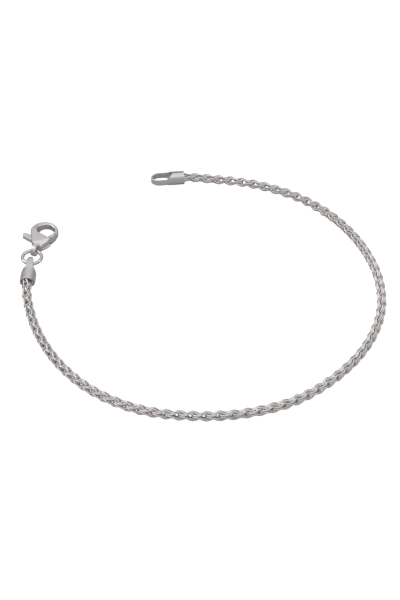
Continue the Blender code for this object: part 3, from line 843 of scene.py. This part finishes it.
class Nodes:
    """Short ways to add nodes to one new material."""

    def __init__(self, name):
        self.material = bpy.data.materials.new(name)
        self.material.use_nodes = True
        self.tree = self.material.node_tree
        self.shader = self.tree.nodes["Principled BSDF"]
        self.place = self.add("ShaderNodeTexCoord").outputs["Object"]

    def add(self, kind, **settings):
        """A new node with these settings."""
        node = self.tree.nodes.new(kind)
        for key, value in settings.items():
            setattr(node, key, value)
        return node

    def link(self, source, target):
        """Leads one socket to another."""
        self.tree.links.new(source, target)

    def attribute(self, name):
        """A number that the mesh holds at its points."""
        return self.add("ShaderNodeAttribute", attribute_name=name).outputs["Fac"]

    def noise(self, scale, detail):
        """Noise through the object's space."""
        node = self.add("ShaderNodeTexNoise")
        node.inputs["Scale"].default_value = scale
        node.inputs["Detail"].default_value = detail
        self.link(self.place, node.inputs["Vector"])
        return node.outputs["Fac"]

    def spread(self, source, span, target=(0.0, 1.0)):
        """A value in one span turned into another, and held at its ends."""
        node = self.add("ShaderNodeMapRange", clamp=True)
        set_range(node, span, target)
        self.link(source, node.inputs["Value"])
        return node.outputs["Result"]

    def mix(self, share, first, second):
        """A colour between two others, each a socket or a plain colour."""
        node = self.add("ShaderNodeMix", data_type="RGBA")
        for name, value in (("Factor", share), ("A", first), ("B", second)):
            socket = node.inputs[name]
            if isinstance(value, bpy.types.NodeSocket):
                self.link(value, socket)
            else:
                socket.default_value = value
        return node.outputs["Result"]

    def bump(self, source, strength, distance):
        """Raises the shader's surface where a value is high."""
        node = self.add("ShaderNodeBump")
        node.inputs["Strength"].default_value = strength
        node.inputs["Distance"].default_value = distance
        self.link(source, node.inputs["Height"])
        self.link(node.outputs["Normal"], self.shader.inputs["Normal"])


def link_silver():
    """Worn bright silver wire, with painted shade: darker where it lies inward among the links."""
    n = Nodes("chain_silver")
    grain = n.noise(*WIRE_GRAIN)
    bright = n.mix(n.spread(n.noise(*WIRE_DRIFT), WIRE_DRIFT_SPAN), WIRE_COOL, WIRE_WARM)
    bright = n.mix(n.spread(n.attribute("link_tone"), (0.0, 1.0), WIRE_GREY_SHARES), bright, WIRE_GREY)
    # Painted shade: the inner parts of each link get the darker colour, the outer parts the bright one
    colour = n.mix(n.spread(n.attribute("out_share"), WIRE_PAINTED_SHADE_SPAN), WIRE_PAINTED_SHADE, bright)
    n.link(colour, n.shader.inputs["Base Color"])
    n.shader.inputs["Metallic"].default_value = 1.0
    n.link(n.spread(grain, GRAIN_SPAN, WIRE_ROUGHNESS), n.shader.inputs["Roughness"])
    n.bump(grain, *WIRE_BUMP)
    return n.material


def polished_silver(name, roughness, cool, warm):
    """Polished cast or stamped silver with faint handling marks."""
    n = Nodes(name)
    colour = n.mix(n.spread(n.noise(*CAST_DRIFT), CAST_DRIFT_SPAN), cool, warm)
    n.link(colour, n.shader.inputs["Base Color"])
    n.shader.inputs["Metallic"].default_value = 1.0
    n.link(n.spread(n.noise(*CAST_GRAIN), GRAIN_SPAN, roughness), n.shader.inputs["Roughness"])
    n.bump(n.noise(*CAST_DENTS), *CAST_BUMP)
    return n.material


LINK_SILVER = link_silver()
CAP_SILVER = polished_silver("cap_silver", CAP_ROUGHNESS, CAP_COOL, CAP_WARM)
CLASP_SILVER = polished_silver("clasp_silver", CLASP_ROUGHNESS, CLASP_COOL, CLASP_WARM)


# Studio


def build_table():
    """A plain table that the camera sees as white, while it throws less light back on the silver."""
    bpy.ops.mesh.primitive_plane_add(size=TABLE_SIZE, location=(0, 0, 0))
    table = bpy.context.object
    table.name = "table"
    n = Nodes("table_white")
    n.shader.inputs["Base Color"].default_value = TABLE_COLOUR
    n.shader.inputs["Roughness"].default_value = 1.0
    n.shader.inputs["Specular IOR Level"].default_value = 0.0
    n.shader.inputs["Emission Color"].default_value = TABLE_GLOW
    seen = n.add("ShaderNodeLightPath").outputs["Is Camera Ray"]
    n.link(seen, n.shader.inputs["Emission Strength"])
    table.data.materials.append(n.material)


def build_sky():
    """A pale sky, brighter above and darker to the left and the right."""
    world = bpy.context.scene.world or bpy.data.worlds.new("studio")
    bpy.context.scene.world = world
    world.use_nodes = True
    tree = world.node_tree
    tree.nodes.clear()
    direction = tree.nodes.new("ShaderNodeTexCoord")
    split = tree.nodes.new("ShaderNodeSeparateXYZ")
    ramp = tree.nodes.new("ShaderNodeValToRGB")
    stops = ramp.color_ramp.elements
    stops[0].position, stops[0].color = SKY_LOW
    stops[1].position, stops[1].color = SKY_HIGH
    middle, colour = SKY_MIDDLE
    stops.new(middle).color = colour
    aside = tree.nodes.new("ShaderNodeMath")
    aside.operation = "ABSOLUTE"
    fade = tree.nodes.new("ShaderNodeMapRange")
    fade.interpolation_type = "SMOOTHSTEP"
    set_range(fade, SKY_SIDE_SPAN, SKY_SIDE_STRENGTH)
    shine = tree.nodes.new("ShaderNodeBackground")
    output = tree.nodes.new("ShaderNodeOutputWorld")
    for source, target in (
            (direction.outputs["Generated"], split.inputs["Vector"]),
            (split.outputs["Z"], ramp.inputs["Fac"]),
            (ramp.outputs["Color"], shine.inputs["Color"]),
            (split.outputs["X"], aside.inputs[0]),
            (aside.outputs["Value"], fade.inputs["Value"]),
            (fade.outputs["Result"], shine.inputs["Strength"]),
            (shine.outputs["Background"], output.inputs["Surface"])):
        tree.links.new(source, target)


def build_lights():
    """The soft boxes, all aimed at the table's middle."""
    for place, size, power in SOFT_BOXES:
        data = bpy.data.lights.new("soft_box", "AREA")
        data.shape = "RECTANGLE"
        data.size, data.size_y = size
        data.energy = power
        lamp = bpy.data.objects.new("soft_box", data)
        bpy.context.scene.collection.objects.link(lamp)
        lamp.location = place
        lamp.rotation_euler = (Vector((0, 0, 0)) - Vector(place)).to_track_quat("-Z", "Y").to_euler()


def build_camera():
    """The photograph's view."""
    data = bpy.data.cameras.new("camera")
    data.lens = VIEW_LENS
    data.clip_start = VIEW_NEAR
    camera = bpy.data.objects.new("camera", data)
    bpy.context.scene.collection.objects.link(camera)
    back = Vector((0, -math.cos(VIEW_ELEVATION), math.sin(VIEW_ELEVATION)))
    camera.location = shift + back * VIEW_DISTANCE
    camera.rotation_euler = (math.pi / 2 - VIEW_ELEVATION, 0, 0)
    bpy.context.scene.camera = camera
    bpy.context.scene.view_settings.view_transform = "Standard"


build_table()
build_sky()
build_lights()
build_camera()
build_links()
build_cap("near_cap_shell", "end_cap_near", near_cap, NEAR_CAP_TIP)
build_cap("far_cap_shell", "end_cap_far", far_cap, FAR_CAP_TIP)
build_ring()
build_clasp_body()
build_lever()
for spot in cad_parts["clasp_pin"].material_slots:
    spot.material = CLASP_SILVER
